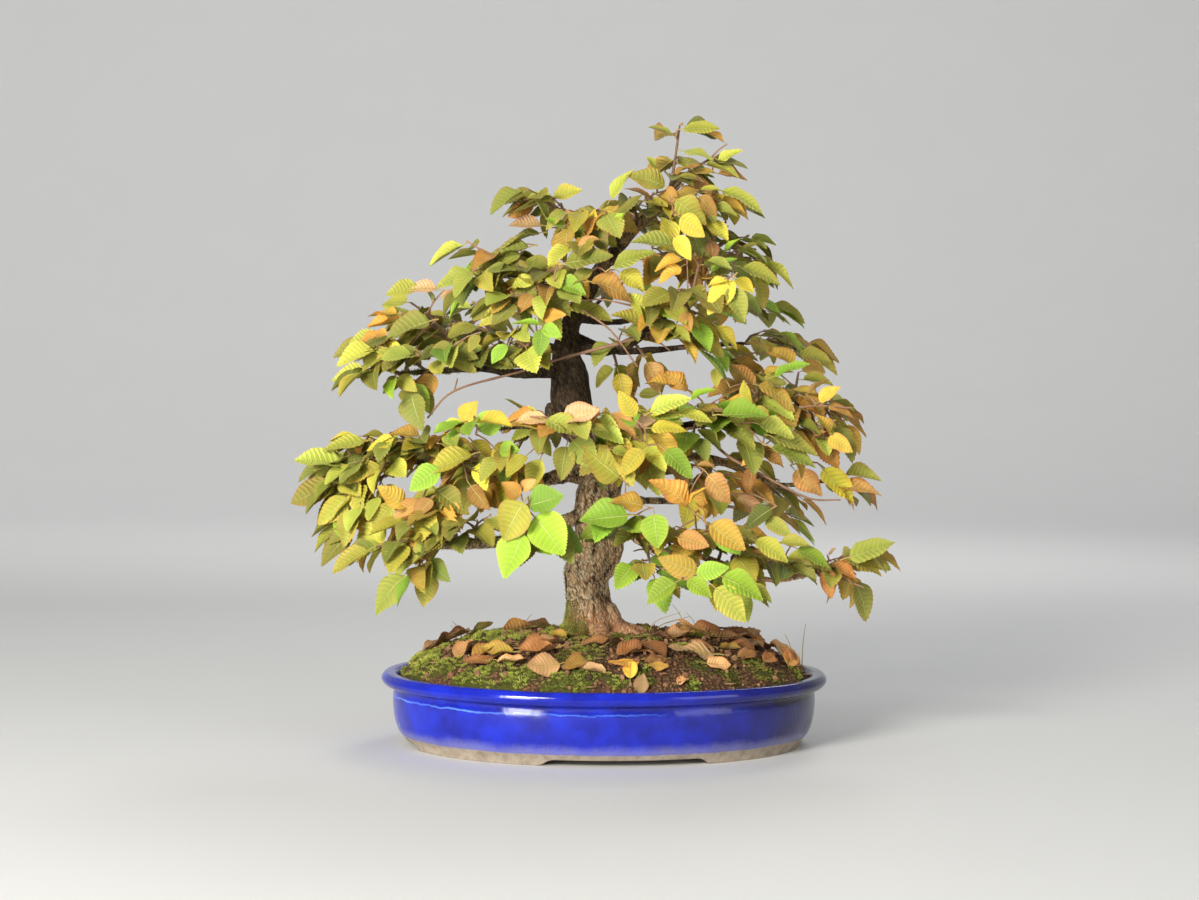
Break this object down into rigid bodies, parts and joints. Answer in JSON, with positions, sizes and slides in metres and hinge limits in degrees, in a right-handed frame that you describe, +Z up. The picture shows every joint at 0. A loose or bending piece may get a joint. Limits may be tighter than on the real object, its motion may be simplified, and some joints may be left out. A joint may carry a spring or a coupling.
{
  "type": "bonsai tree in a pot",
  "caption": "Hornbeam bonsai in autumn leaf: a curved tapering trunk with tiered leafy sprays, rooted in domed soil in a shallow oval glazed pot that stands on short feet.",
  "frame": {"origin": "on the surface that the pot stands on, under the middle of the whole tree's spread", "axes": "+X along the pot's long side, to the right as seen from the front; +Y away from the viewer; +Z up"},
  "size_m": [0.3949, 0.2357, 0.4192],
  "materials": {
    "glaze": "glossy cobalt blue glaze over stoneware, bare buff clay at the feet",
    "screen": "plain plastic mesh",
    "soil": "crumbly, with moss",
    "bark": "rough grey-brown bark with pale flecks",
    "leaf_green": "satin leaf turning from green to yellow",
    "leaf_lime": "satin fresh lime leaf",
    "leaf_yellow": "satin yellow autumn leaf",
    "leaf_orange": "satin orange-brown autumn leaf",
    "leaf_fallen": "dry brown leaf"
  },
  "bodies": {
    "root": {"pot": "glaze", "drain_screen_left": "screen", "drain_screen_right": "screen", "soil": "soil", "trunk_and_branches": "bark", "spray_pendant_left": "leaf_green", "spray_left_front": "leaf_green", "spray_front_four": "leaf_lime", "spray_left_tip": "leaf_green", "spray_left_top": "leaf_yellow", "spray_left_inner": "leaf_orange", "spray_left_back": "leaf_green", "spray_left_high_tip": "leaf_green", "spray_left_high_shoulder": "leaf_green", "spray_left_high_front": "leaf_green", "spray_left_high_crown": "leaf_green", "spray_left_high_inner": "leaf_green", "spray_left_high_back": "leaf_green", "spray_apex_left_tip": "leaf_green", "spray_apex_left_front": "leaf_green", "spray_crown_left": "leaf_green", "spray_crown_front": "leaf_orange", "spray_leader": "leaf_green", "spray_crown_right": "leaf_yellow", "spray_crown_top": "leaf_green", "spray_crown_back": "leaf_green", "spray_apex_right_tip": "leaf_green", "spray_apex_right_front": "leaf_orange", "spray_right_high_front_tip": "leaf_yellow", "spray_right_high_front_low": "leaf_orange", "spray_right_high_tip": "leaf_yellow", "spray_right_high_middle": "leaf_yellow", "spray_right_high_back": "leaf_green", "spray_right_mid_tip": "leaf_orange", "spray_right_mid_top": "leaf_yellow", "spray_right_mid_front": "leaf_lime", "spray_cross_tip": "leaf_lime", "spray_cross_middle": "leaf_orange", "spray_front_centre": "leaf_yellow", "spray_right_low_tip": "leaf_orange", "spray_right_low_back": "leaf_orange", "spray_right_low_front": "leaf_orange", "spray_right_foot_tip": "leaf_orange", "spray_right_foot_top": "leaf_green", "spray_right_foot_front": "leaf_lime", "spray_right_foot_inner": "leaf_lime", "spray_right_foot_middle": "leaf_yellow", "spray_right_back": "leaf_yellow", "spray_back": "leaf_green", "spray_back_high": "leaf_green", "fallen_left_heap": "leaf_fallen", "fallen_left_gold": "leaf_yellow", "fallen_left_back": "leaf_yellow", "fallen_left_tan": "leaf_fallen", "fallen_front_tan": "leaf_fallen", "fallen_front_yellow": "leaf_yellow", "fallen_middle_amber": "leaf_fallen", "fallen_right_large": "leaf_fallen", "fallen_right_heap": "leaf_fallen", "fallen_right_end": "leaf_fallen"}
  },
  "joints": []
}
